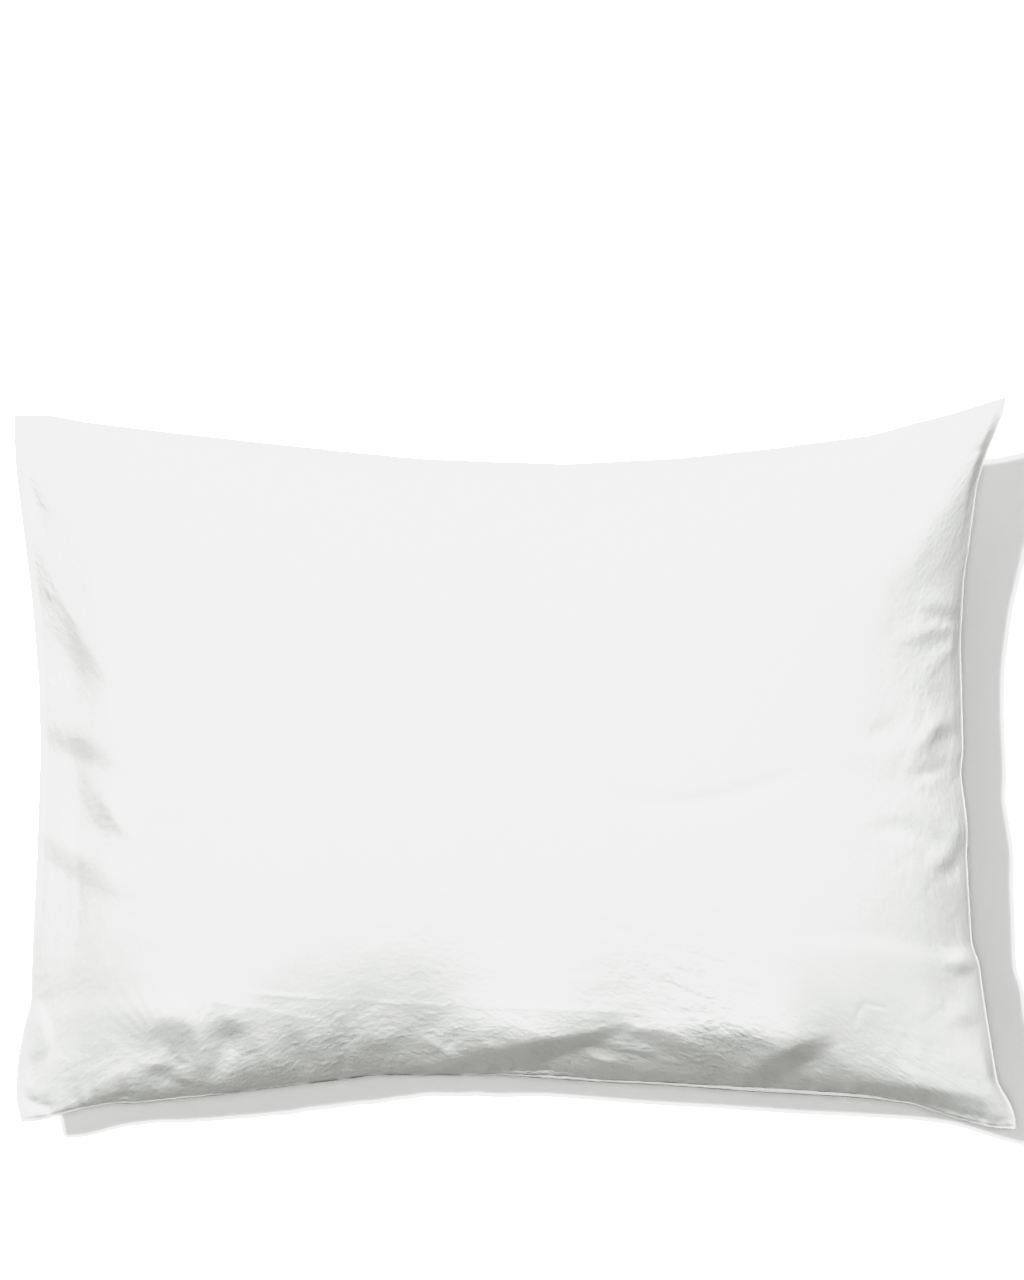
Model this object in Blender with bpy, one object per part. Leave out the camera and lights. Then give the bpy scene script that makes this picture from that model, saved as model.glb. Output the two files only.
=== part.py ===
"""A pillowcase with its pillow inside, lying on its back: one filled, closed cloth solid.

Metres, +Z up. X runs along the long sides and Y along the short ones, the head of
the case at +Y. The origin is on the surface it lies on, under the middle of its box.
"""

from collections import namedtuple

import bmesh
import bpy
import numpy as np

MM = 0.001

# Driving sizes, in millimetres. The case is cut 700 x 500 and the filling draws it in.
SEAM_HEIGHT = 66.0        # of the seam above the surface, on average
FRONT_CROWN = 79.0        # rise of the front panel above its seam
SEAM_WIDTH = 3.5          # the sewn edge that stands out past the filling
SEAM_THICKNESS = 1.2
LONG_ROUNDNESS = 3.4      # power of the profile along X: higher is flatter with tighter rolls
SHORT_ROUNDNESS = 2.6     # the same along Y
BACK_ROUNDNESS = 1.7      # the same for the back panel, from its resting patch to the seam
EAR_THINNING = 0.38       # share of the thickness that the filling leaves empty at a corner
EAR_REACH = 80.0          # how far from a corner that emptiness goes
FOLD_FADE = 9.0           # folds of a panel die away over this distance from the seam
EDGE_SMOOTHING = 7.0      # rounding of the outline's bends

# Cells of each panel's grid, closer together towards the seam.
CELLS_LONG = 58
CELLS_SHORT = 42
RIM_CROWDING = 0.6        # 0 is an even grid, 1 packs the cells fully to the rolls

# The weight of the filling flattens a patch in the middle of the back panel: cells from
# its middle to its edge.
REST_CELLS_LONG = 14
REST_CELLS_SHORT = 8

# The seam as it lies, seen from above: places along each side, corner to corner.
Place = namedtuple("Place", "x y")
HEAD_SIDE = [Place(*row) for row in (
    (-350, 244), (-326, 244), (-299, 239), (-249, 233), (-179, 225), (-92, 216), (-57, 213),
    (36, 210), (115, 214), (183, 221), (250, 230), (278, 238), (303, 244), (342, 256))]
RIGHT_SIDE = [Place(*row) for row in (
    (351, -256), (350, -245), (345, -234), (338, -224), (328, -162), (325, -138), (320, -128),
    (316, -63), (317, -45), (312, -7), (314, 11), (312, 83), (314, 129), (317, 150),
    (322, 188), (328, 208), (335, 227), (342, 251), (342, 256))]
FOOT_SIDE = [Place(*row) for row in (
    (-346, -251), (-332, -250), (-304, -242), (-281, -238), (-267, -238), (-209, -232),
    (-162, -226), (-128, -222), (-97, -218), (-8, -218), (48, -222), (108, -225),
    (160, -229), (246, -234), (277, -238), (307, -248), (335, -255), (351, -256))]
LEFT_SIDE = [Place(*row) for row in (
    (-346, -251), (-350, -234), (-348, -206), (-343, -180), (-339, -170), (-338, -139),
    (-334, -60), (-332, 6), (-333, 55), (-338, 115), (-345, 172), (-349, 204),
    (-351, 239), (-350, 244))]

# Where the seam rides higher or lower than its average height.
SeamLift = namedtuple("SeamLift", "x y rise reach")
SEAM_LIFTS = [SeamLift(*row) for row in (
    (342, 256, 27, 120),       # the head corner on the right is pulled up
    (-350, 244, -3, 90),
    (-346, -251, -5, 90),
    (351, -256, -2, 90),
    (-180, 225, 4, 70),
    (36, 210, -4, 80),
    (183, 221, 4, 60),
    (313, 60, -4, 60),
    (316, -60, 4, 55),
    (108, -225, 4, 70),
    (-97, -218, -5, 70),
    (-334, -60, 4, 70),
    (-338, 115, -4, 60))]

# Folds of the front panel: a curve from start over bend to end, the half width of its
# trough or ridge, and its rise (a trough's is negative). All in millimetres.
Fold = namedtuple("Fold", "start bend end width rise")
FRONT_FOLDS = [Fold(*row) for row in (
    # right: the ridge that comes down from the pulled-up corner, then the dents of the roll
    ((338, 249), (298, 185), (250, 115), 20, 6.0),
    ((270, 87), (287, 104), (306, 111), 9, -5.5),
    ((273, 76), (294, 87), (311, 97), 8, 3.0),
    ((286, 15), (298, 22), (309, 28), 8, -5.5),
    ((245, 25), (255, 22), (268, 30), 9, -2.5),
    ((258, 13), (284, 20), (297, 34), 8, 2.5),
    ((308, -8), (291, -13), (273, -10), 8, -3.0),
    ((250, -47), (271, -45), (298, -57), 10, -3.5),
    ((294, -67), (304, -74), (313, -94), 8, -4.5),
    ((294, -139), (309, -144), (323, -143), 8, -5.5),
    ((301, -181), (315, -183), (328, -182), 8, -4.5),
    ((292, -174), (322, -214), (346, -249), 14, 5.0),
    # foot: the roll's hollows from left to right, and the two deep folds of the middle
    ((-240, -171), (-243, -190), (-234, -209), 10, -4.5),
    ((-223, -186), (-221, -204), (-220, -218), 8, 3.5),
    ((-201, -176), (-197, -197), (-202, -218), 10, -5.5),
    ((-177, -193), (-174, -207), (-171, -221), 8, 3.5),
    ((-157, -190), (-154, -207), (-150, -221), 9, -4.5),
    ((-119, -193), (-121, -207), (-115, -220), 9, -4.0),
    ((-91, -186), (-73, -197), (-49, -209), 11, -5.5),
    ((-258, -210), (-231, -223), (-180, -225), 7, -6.0),
    ((-49, -210), (-7, -208), (32, -199), 10, -9.0),
    ((32, -199), (60, -189), (91, -184), 9, -7.5),
    ((11, -215), (38, -211), (66, -204), 9, 4.5),
    ((66, -202), (101, -209), (147, -207), 9, -5.0),
    ((158, -227), (199, -204), (224, -186), 10, -8.5),
    ((156, -218), (180, -204), (199, -189), 9, 5.0),
    ((-197, -157), (-24, -168), (143, -176), 10, 2.0),
    # left: the empty corner's fold, the tuck above it and the slack folds of the side
    ((-348, -231), (-337, -236), (-322, -246), 7, -4.0),
    ((-338, -162), (-327, -181), (-330, -210), 7, -3.5),
    ((-335, 155), (-315, 110), (-278, 49), 9, -6.5),
    ((-307, 231), (-290, 178), (-255, 97), 15, -3.5),
    ((-344, 204), (-337, 181), (-327, 153), 8, -4.0),
    ((-331, 19), (-304, 11), (-278, -6), 10, -6.5),
    ((-296, -13), (-287, -41), (-268, -59), 9, -5.0),
    ((-331, -43), (-304, -76), (-267, -99), 10, -4.5),
    ((-290, -22), (-262, -29), (-248, -40), 9, -2.5),
    # head: soft puckers that run down from the seam
    ((-141, 211), (-153, 199), (-164, 186), 10, -3.5),
    ((-118, 211), (-114, 202), (-110, 190), 9, -3.0),
    ((-91, 207), (-80, 196), (-70, 186), 9, -3.0),
    ((-45, 206), (-44, 188), (-48, 171), 10, -3.5),
    ((42, 206), (51, 190), (60, 176), 11, -4.0),
    ((88, 206), (79, 188), (64, 167), 11, -3.5),
    ((122, 208), (120, 192), (115, 178), 10, -3.0),
    ((163, 211), (160, 199), (154, 185), 10, -3.0),
    ((264, 220), (259, 202), (250, 181), 8, 2.5),
    # middle: one shallow crease across the right half
    ((62, -16), (122, -27), (199, -5), 12, -2.5))]
FOLD_STEPS = 14           # straight steps that a fold's curve is measured by
FOLD_END = 0.3            # share of its rise that a fold still has at its ends
FOLD_REACH = 3            # widths from its curve at which a fold has died away

# Puckers of the back panel, which the seam gathers evenly: they run in from each side.
PUCKERS_LONG = 7
PUCKERS_SHORT = 5
PUCKER_LENGTH = 62.0
PUCKER_WIDTH = 11.0
PUCKER_RISE = -4.0

CLOTH_COLOUR = (0.86, 0.87, 0.86, 1.0)
CLOTH_ROUGHNESS = 0.9


def read_side(side, places, across):
    """Coordinate of a side at the given places, with its bends rounded off.

    across is "y" for the head and foot, which run along X, and "x" for the short sides.
    """
    along = "x" if across == "y" else "y"
    stations = np.array([getattr(place, along) for place in side], float)
    values = np.array([getattr(place, across) for place in side], float)
    reach = np.minimum(EDGE_SMOOTHING, np.minimum(places - stations[0], stations[-1] - places))
    weights = {-1.0: 1, -0.5: 2, 0.0: 3, 0.5: 2, 1.0: 1}
    total = sum(weight * np.interp(places + step * reach, stations, values)
                for step, weight in weights.items())
    return total / sum(weights.values())


def plan_point(u, v):
    """Place in plan of the point that lies u of the way to the right and v to the head."""
    foot_left, foot_right = FOOT_SIDE[0], FOOT_SIDE[-1]
    head_left, head_right = HEAD_SIDE[0], HEAD_SIDE[-1]
    foot_x = foot_left.x + u * (foot_right.x - foot_left.x)
    head_x = head_left.x + u * (head_right.x - head_left.x)
    left_y = foot_left.y + v * (head_left.y - foot_left.y)
    right_y = foot_right.y + v * (head_right.y - foot_right.y)
    foot_y = read_side(FOOT_SIDE, foot_x, "y")
    head_y = read_side(HEAD_SIDE, head_x, "y")
    left_x = read_side(LEFT_SIDE, left_y, "x")
    right_x = read_side(RIGHT_SIDE, right_y, "x")
    corner_x = ((1 - u) * (1 - v) * foot_left.x + u * (1 - v) * foot_right.x
                + (1 - u) * v * head_left.x + u * v * head_right.x)
    corner_y = ((1 - u) * (1 - v) * foot_left.y + u * (1 - v) * foot_right.y
                + (1 - u) * v * head_left.y + u * v * head_right.y)
    x = (1 - v) * foot_x + v * head_x + (1 - u) * left_x + u * right_x - corner_x
    y = (1 - v) * foot_y + v * head_y + (1 - u) * left_y + u * right_y - corner_y
    return x, y


def seam_height(x, y):
    """Height of the seam's surface, which both panels leave at their edge."""
    height = np.full_like(x, SEAM_HEIGHT)
    for lift in SEAM_LIFTS:
        height += lift.rise * np.exp(-((x - lift.x)**2 + (y - lift.y)**2) / lift.reach**2)
    return height


def half_sizes():
    """Half the case's length and width, corner to corner."""
    length = FOOT_SIDE[-1].x - FOOT_SIDE[0].x
    width = HEAD_SIDE[0].y - FOOT_SIDE[0].y
    return length / 2, width / 2


def crowd(place, cells, half_size):
    """Grid place from -1 to 1, moved towards the rim, with the rim's cell as the sewn edge."""
    last = 1 - 2 / cells
    inside = np.clip(place / last, -1, 1)
    crowded = (1 - RIM_CROWDING) * inside + RIM_CROWDING * np.sin(inside * np.pi / 2)
    inner = crowded * (1 - SEAM_WIDTH / half_size)
    return np.where(np.abs(place) > last + 1e-6, np.sign(place), inner)


def way_to_seam(s, t, side):
    """How far each point is from the flat part of its panel, 0, to the sewn edge, 1."""
    half_length, half_width = half_sizes()
    ways = []
    for place, cells, rest_cells, half_size in (
            (s, CELLS_LONG, REST_CELLS_LONG, half_length),
            (t, CELLS_SHORT, REST_CELLS_SHORT, half_width)):
        flat = crowd(2 * rest_cells / cells, cells, half_size) if side < 0 else 0.0
        way = (np.abs(place) - flat) / (1 - SEAM_WIDTH / half_size - flat)
        ways.append(np.where(way < 1e-6, 0.0, np.minimum(way, 1.0)))
    return ways


def fullness(s, t, x, y, side):
    """Share of the panel's depth at each point: 0 along the seam, 1 in the middle."""
    long_way, short_way = way_to_seam(s, t, side)
    long_power, short_power = ((LONG_ROUNDNESS, SHORT_ROUNDNESS) if side > 0
                               else (BACK_ROUNDNESS, BACK_ROUNDNESS))
    full = np.sqrt(1 - long_way**long_power) * np.sqrt(1 - short_way**short_power)
    slack = np.zeros_like(full)
    for corner in (FOOT_SIDE[0], FOOT_SIDE[-1], HEAD_SIDE[0], HEAD_SIDE[-1]):
        away = (x - corner.x)**2 + (y - corner.y)**2
        slack += EAR_THINNING * np.exp(-away / EAR_REACH**2)
    return np.where(full == 1, 1.0, full * (1 - slack))


def fold_rise(folds, x, y):
    """Sum of the folds' rises at each point of the plan."""
    rise = np.zeros_like(x)
    steps = np.linspace(0, 1, FOLD_STEPS + 1)
    for fold in folds:
        start, bend, end = (np.array(place, float) for place in (fold.start, fold.bend, fold.end))
        handle = 2 * bend - (start + end) / 2
        curve = (np.outer((1 - steps)**2, start) + np.outer(2 * steps * (1 - steps), handle)
                 + np.outer(steps**2, end))
        nearest = np.full_like(x, np.inf)
        share = np.zeros_like(x)
        for step in range(FOLD_STEPS):
            leg = curve[step + 1] - curve[step]
            on_leg = ((x - curve[step, 0]) * leg[0] + (y - curve[step, 1]) * leg[1]) / leg.dot(leg)
            on_leg = np.clip(on_leg, 0, 1)
            away = np.hypot(x - curve[step, 0] - on_leg * leg[0],
                            y - curve[step, 1] - on_leg * leg[1])
            closer = away < nearest
            nearest = np.where(closer, away, nearest)
            share = np.where(closer, (step + on_leg) / FOLD_STEPS, share)
        taper = FOLD_END + (1 - FOLD_END) * np.sin(np.pi * share)
        rounded = taper * np.exp(-(nearest / fold.width)**2)
        rise += fold.rise * np.where(nearest < FOLD_REACH * fold.width, rounded, 0.0)
    return rise


def back_puckers():
    """Folds that run in from the seam of the back panel, straight and evenly spaced."""
    folds = []
    for place in range(PUCKERS_LONG):
        u = (place + 1) / (PUCKERS_LONG + 1)
        for v, inward in ((0.0, 1), (1.0, -1)):
            x, y = (float(value) for value in plan_point(np.array(u), np.array(v)))
            tip = y + inward * PUCKER_LENGTH
            folds.append(Fold((x, y), (x, (y + tip) / 2), (x, tip), PUCKER_WIDTH, PUCKER_RISE))
    for place in range(PUCKERS_SHORT):
        v = (place + 1) / (PUCKERS_SHORT + 1)
        for u, inward in ((0.0, 1), (1.0, -1)):
            x, y = (float(value) for value in plan_point(np.array(u), np.array(v)))
            tip = x + inward * PUCKER_LENGTH
            folds.append(Fold((x, y), ((x + tip) / 2, y), (tip, y), PUCKER_WIDTH, PUCKER_RISE))
    return folds


def plain_panel(s, t, side):
    """The unfolded panel: side is 1 for the front and -1 for the back."""
    x, y = plan_point((1 + s) / 2, (1 + t) / 2)
    full = fullness(s, t, x, y, side)
    edge = seam_height(x, y) + side * SEAM_THICKNESS / 2
    height = edge + FRONT_CROWN * full if side > 0 else edge * (1 - full)
    return np.stack([x, y, height], axis=-1)


def outward(s, t, side):
    """Unit normals of the unfolded panel, pointing out of the filling."""
    step = 0.004
    inner = 1 - 2 * step
    s_in, t_in = np.clip(s, -inner, inner), np.clip(t, -inner, inner)
    along = plain_panel(s_in + step, t_in, side) - plain_panel(s_in - step, t_in, side)
    across = plain_panel(s_in, t_in + step, side) - plain_panel(s_in, t_in - step, side)
    normal = np.cross(along, across) * side
    return normal / np.linalg.norm(normal, axis=-1, keepdims=True)


def folded_panel(s, t, side, folds):
    """A panel's points, in millimetres, with its folds raised along its normals."""
    half_length, half_width = half_sizes()
    points = plain_panel(s, t, side)
    from_seam = np.minimum((1 - np.abs(s)) * half_length, (1 - np.abs(t)) * half_width)
    fade = np.clip((from_seam - SEAM_WIDTH) / FOLD_FADE, 0, 1)
    rise = fold_rise(folds, points[:, 0], points[:, 1]) * fade * fade * (3 - 2 * fade)
    return points + outward(s, t, side) * rise[:, None]


def add_panel(mesh, side, folds):
    """Grid of one panel, laid on its shape; returns the edges of its rim."""
    grid = bmesh.ops.create_grid(mesh, x_segments=CELLS_LONG, y_segments=CELLS_SHORT, size=1.0)
    verts = grid["verts"]
    half_length, half_width = half_sizes()
    s = crowd(np.array([vert.co.x for vert in verts]), CELLS_LONG, half_length)
    t = crowd(np.array([vert.co.y for vert in verts]), CELLS_SHORT, half_width)
    for vert, point in zip(verts, folded_panel(s, t, side, folds) * MM):
        vert.co = point
    return [edge for edge in {edge for vert in verts for edge in vert.link_edges}
            if edge.is_boundary]


def cloth_material():
    """White washed cotton."""
    material = bpy.data.materials.new("white cotton")
    material.use_nodes = True
    shader = material.node_tree.nodes["Principled BSDF"]
    shader.inputs["Base Color"].default_value = CLOTH_COLOUR
    shader.inputs["Roughness"].default_value = CLOTH_ROUGHNESS
    shader.inputs["Metallic"].default_value = 0.0
    return material


def make_pillowcase():
    """Front and back panel, closed along the thin wall of the sewn edge."""
    mesh = bmesh.new()
    rim = add_panel(mesh, 1, FRONT_FOLDS)
    rim += add_panel(mesh, -1, back_puckers())
    bmesh.ops.bridge_loops(mesh, edges=rim)
    bmesh.ops.recalc_face_normals(mesh, faces=mesh.faces)
    lows = [min(vert.co[axis] for vert in mesh.verts) for axis in (0, 1)]
    highs = [max(vert.co[axis] for vert in mesh.verts) for axis in (0, 1)]
    middle = (-(lows[0] + highs[0]) / 2, -(lows[1] + highs[1]) / 2, 0.0)
    bmesh.ops.translate(mesh, verts=mesh.verts, vec=middle)
    data = bpy.data.meshes.new("pillowcase")
    mesh.to_mesh(data)
    mesh.free()
    data.shade_smooth()
    data.materials.append(cloth_material())
    case = bpy.data.objects.new("pillowcase", data)
    bpy.context.collection.objects.link(case)
    return case


for old in list(bpy.data.objects):
    bpy.data.objects.remove(old, do_unlink=True)
make_pillowcase()
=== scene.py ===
import math

import bpy
import numpy as np
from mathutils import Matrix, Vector


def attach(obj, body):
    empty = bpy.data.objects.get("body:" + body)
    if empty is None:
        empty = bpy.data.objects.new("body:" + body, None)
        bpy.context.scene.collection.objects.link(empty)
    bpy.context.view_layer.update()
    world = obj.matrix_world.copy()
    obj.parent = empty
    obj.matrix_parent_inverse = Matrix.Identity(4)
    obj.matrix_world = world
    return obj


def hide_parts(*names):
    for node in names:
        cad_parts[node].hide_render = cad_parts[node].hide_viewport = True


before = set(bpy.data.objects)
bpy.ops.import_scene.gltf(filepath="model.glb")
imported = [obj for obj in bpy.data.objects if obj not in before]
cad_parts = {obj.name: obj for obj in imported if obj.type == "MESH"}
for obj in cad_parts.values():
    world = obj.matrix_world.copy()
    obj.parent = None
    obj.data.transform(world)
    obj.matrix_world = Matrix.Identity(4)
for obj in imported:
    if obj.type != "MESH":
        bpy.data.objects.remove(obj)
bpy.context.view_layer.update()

mm = 0.001

# The seam seen from above, corner to corner, in millimetres: how the filling draws it in.
outline = {
    "head": ((-350, 244), (-326, 244), (-299, 239), (-249, 233), (-179, 225), (-92, 216),
             (-57, 213), (36, 210), (115, 214), (183, 221), (250, 230), (278, 238),
             (303, 244), (342, 256)),
    "right": ((351, -256), (350, -245), (345, -234), (338, -224), (328, -162), (325, -138),
              (320, -128), (316, -63), (317, -45), (312, -7), (314, 11), (312, 83),
              (314, 129), (317, 150), (320, 175), (323, 197), (329, 217), (335, 231),
              (341, 247), (342, 256)),
    "foot": ((-346, -251), (-332, -250), (-304, -242), (-281, -238), (-267, -238),
             (-209, -232), (-162, -226), (-128, -222), (-97, -218), (-8, -218), (48, -222),
             (108, -225), (160, -229), (246, -234), (277, -238), (307, -248), (335, -255),
             (351, -256)),
    "left": ((-346, -251), (-350, -234), (-348, -206), (-343, -180), (-339, -170),
             (-338, -139), (-334, -60), (-332, 6), (-333, 55), (-338, 115), (-345, 172),
             (-349, 204), (-351, 239), (-350, 244)),
    "smoothing": 6.0,  # rounding of its bends
}

# What a user would change on the filled case, in millimetres.
pillowcase = {
    "name": "filledCase",
    "seamHeight": 66.0,
    "frontCrown": 79.0,
    # how each roll turns down: higher is flatter on top and tighter at the edge, and the second
    # value is 0.5 for a roll that meets its seam upright and more for one that runs out flatter
    "rolls": {"left": (2.8, 0.85), "right": (3.3, 0.72), "foot": (3.3, 0.5), "head": (2.7, 0.5)},
    "backRoundness": 1.7,  # the same two values for every roll of the back
    "backTurn": 0.5,
    "restLong": 0.605,  # share of the length, and of the width, that rests flat
    "restShort": 0.49,
    # what the filling leaves empty in a corner: side, its end, share and reach
    "ears": (("foot", 0, 0.38, 80), ("foot", -1, 0.38, 80), ("head", 0, 0.38, 80),
             ("head", -1, 0.62, 105)),
    "foldFade": 8.0,  # folds die away over this distance from the seam
    "tuckFade": 4.0,
    "tuckBulge": 0.35,  # how much more a tuck lifts its upper side than it sinks the lower one
    "tuckSpread": 1.6,  # how much further its lower side takes to even out
    "tuckTaper": 1.2,  # higher makes its ends run out finer
    "tuckCorner": 6,  # higher makes the top and the foot of its step sharper
    "cellsLong": 340,  # of the front
    "cellsShort": 232,
    "backStep": 2,  # one cell of the back stands beside so many of the front, each way
    # size of the cells at places from one side (-1) to the other (1)
    "spacingLong": ((-1, 1.2), (-0.85, 1.7), (-0.6, 2.1), (0.6, 2.1), (0.85, 1.6), (1, 1.2)),
    "spacingShort": ((-1, 0.9), (-0.62, 1.1), (-0.3, 3.3), (0.6, 3.3), (0.9, 2.0), (1, 1.3)),
    "lipCells": 4,  # rows of cells on the sewn edge
    "lipWidth": 3.5,
    "lipBlend": 30.0,  # the cloth inside makes up for a narrow lip over this distance
    "lipThickness": 1.2,
    "sideLip": 0.7,  # what stands out at the sides and the head, where it turns under
    "rippleFade": 4.0,  # the lip's ripple dies away over this distance inside it
    "gatherFade": 2.5,  # and the gathers begin over this one
    "clothLength": 700.0,  # the case laid flat
    "clothWidth": 500.0,
    "fill": 0.8,
}

# How wide the sewn edge stands out at the foot: place along it, and width there.
footLip = ((-346, 1.8), (-300, 1.2), (-230, 1.6), (-180, 1.0), (-40, 1.0), (-5, 1.8), (35, 3.6),
           (60, 2.4), (120, 3.0), (170, 4.0), (235, 3.2), (262, 1.8), (310, 1.2), (330, 1.4),
           (351, 2.2))

# Where the seam rides higher or lower than seamHeight: x, y, rise and reach.
seamLifts = ((342, 256, 27, 120), (-350, 244, -3, 90), (-346, -251, -14, 90),
             (351, -256, -2, 90), (-180, 225, 4, 70), (36, 210, -4, 80), (183, 221, 4, 60),
             (313, 60, -4, 60), (316, -60, 4, 55), (108, -225, 4, 70), (-97, -218, -5, 70),
             (-334, -60, 4, 70), (-338, 115, -4, 60))

# Folds of the front, in millimetres: start, bend, end, half width and rise (a trough's is
# negative).
rollFolds = (
    # right: the ridge below the pulled-up corner, and the slack ridges of the side
    ((338, 249), (298, 185), (250, 115), 20, 5.0),
    ((283, 95), (297, 95), (311, 94), 5, 2.0),
    ((313, 92), (302, 80), (290, 68), 5, 1.6),
    ((298, 31), (288, 20), (279, 12), 5, 1.8),
    ((245, 25), (255, 22), (268, 30), 8, -1.5),
    ((300, -2), (289, -6), (276, -7), 4, -1.2),
    ((250, -47), (271, -45), (298, -57), 8, -2.0),
    ((314, -24), (303, -60), (279, -73), 6, 1.3),
    ((313, -66), (303, -76), (286, -70), 6, -1.2),
    ((292, -174), (322, -214), (346, -249), 14, 4.0),
    # foot: the light ridges between the roll's dark hollows, from left to right
    ((-221, -182), (-218, -202), (-217, -218), 6, 3.0),
    ((-205, -176), (-201, -196), (-205, -214), 8, -3.0),
    ((-177, -190), (-172, -205), (-170, -220), 6, 2.0),
    ((-157, -186), (-152, -203), (-150, -219), 7, -2.5),
    ((-119, -190), (-121, -205), (-115, -219), 7, -2.5),
    ((-60, -190), (-48, -198), (-38, -209), 7, 2.0),
    # left: the empty corner's fold and the slack folds of the side
    ((-348, -234), (-335, -240), (-321, -248), 5, -1.8),
    ((-307, 231), (-290, 178), (-255, 97), 15, -3.0),
    ((-344, 204), (-337, 181), (-327, 153), 7, -3.0),
    ((-282, -25), (-275, -38), (-262, -54), 4, 1.2),
    # head: soft puckers that run down from the seam
    ((-141, 211), (-153, 199), (-164, 186), 9, -2.0),
    ((-118, 211), (-114, 202), (-110, 190), 8, -1.6),
    ((-91, 207), (-80, 196), (-70, 186), 8, -1.6),
    ((-45, 206), (-44, 188), (-48, 171), 9, -2.0),
    ((42, 206), (51, 190), (60, 176), 10, -2.4),
    ((88, 206), (79, 188), (64, 167), 10, -2.0),
    ((122, 208), (120, 192), (115, 178), 9, -1.6),
    ((163, 211), (160, 199), (154, 185), 9, -1.6),
    ((264, 220), (259, 202), (250, 181), 7, 2.0),
    # middle: one shallow crease across the right half
    ((68, -20), (122, -27), (199, -5), 7, -2.2),
)

# Tucks, where the cloth on the left of the way stands over the cloth on its right, in
# millimetres: start, bend, end, half width of the step at the start, bend and end, its
# steepness, and how far the upper side takes to even out.
tucks = (
    # foot: the two deep folds, from the middle to the right, and the smaller ones between them
    ((-60, -213), (18, -200), (88, -178), 11.0, 8.5, 1.5, 1.65, 44),
    ((66, -190), (96, -189), (132, -199), 2.5, 5.0, 6.0, 0.70, 18),
    ((62, -200), (90, -203), (118, -211), 1.5, 2.0, 1.6, 0.45, 10),
    ((92, -205), (146, -199), (204, -199), 6.0, 11.0, 7.0, 0.46, 42),
    ((155, -230), (188, -208), (224, -190), 8.0, 9.0, 6.0, 1.00, 38),
    ((212, -227), (278, -232), (347, -245), 3.0, 7.0, 8.0, 0.80, 34),
    ((-62, -216), (-41, -211), (-20, -214), 3.0, 5.0, 3.0, 0.40, 14),
    # foot: the hollows at its left end, and the tuck that lies under the roll there
    ((-260, -204), (-238, -188), (-215, -205), 4.0, 15.0, 4.0, 0.50, 30),
    ((-254, -208), (-238, -204), (-224, -208), 3.0, 6.0, 3.0, 0.30, 20),
    ((-214, -195), (-197, -185), (-178, -195), 3.0, 9.0, 4.0, 0.32, 30),
    ((-262, -219), (-249, -213), (-233, -218), 3.0, 4.0, 3.0, 0.60, 16),
    ((-242, -214), (-224, -224), (-180, -229), 2.5, 2.2, 1.5, 0.90, 12),
    ((-302, -236), (-272, -224), (-248, -225), 4.0, 8.0, 4.0, 0.45, 16),
    ((-306, -240), (-278, -233), (-250, -230), 2.0, 3.5, 3.0, 0.70, 10),
    ((-158, -206), (-133, -202), (-108, -207), 4.0, 6.0, 4.0, 0.22, 18),
    ((-140, -214), (-122, -211), (-104, -213), 3.0, 5.0, 3.0, 0.30, 12),
    ((-108, -204), (-91, -197), (-74, -204), 4.0, 6.0, 4.0, 0.34, 18),
    # left: the folds where the top rolls down to the side, and the lobe near the foot
    ((-324, 215), (-294, 15), (-308, -200), 7.0, 15.0, 8.0, 0.42, 42),
    ((-338, 162), (-316, 96), (-276, 40), 5.0, 9.0, 6.0, 0.32, 26),
    ((-338, 166), (-311, 98), (-272, 44), 1.5, 3.0, 2.0, 0.22, 10),
    ((-352, 28), (-306, 12), (-262, -12), 10.0, 9.0, 3.0, 0.36, 26),
    ((-306, 0), (-288, -34), (-264, -66), 5.0, 8.5, 3.0, 0.38, 22),
    ((-350, -34), (-306, -72), (-258, -94), 8.0, 9.0, 4.0, 0.28, 26),
    ((-331, -211), (-326.5, -186), (-339, -160), 1.6, 1.6, 1.6, 1.10, 14),
    # right: the notches of the roll, from the head side to the foot
    ((318, -200), (297, 10), (312, 200), 6.0, 11.0, 6.0, 0.14, 32),
    ((277, 112), (298, 106), (314, 104), 3.0, 6.0, 5.0, 0.38, 16),
    ((264, 86), (284, 86), (306, 90), 2.5, 4.0, 3.0, 0.25, 12),
    ((282, 25), (298, 23), (313, 23), 3.0, 6.0, 5.0, 0.38, 16),
    ((297, -139), (311, -143), (323, -145), 3.0, 5.5, 4.0, 0.45, 13),
    ((298, -178), (313, -180), (328, -180), 3.0, 5.0, 4.0, 0.22, 14),
)

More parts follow.
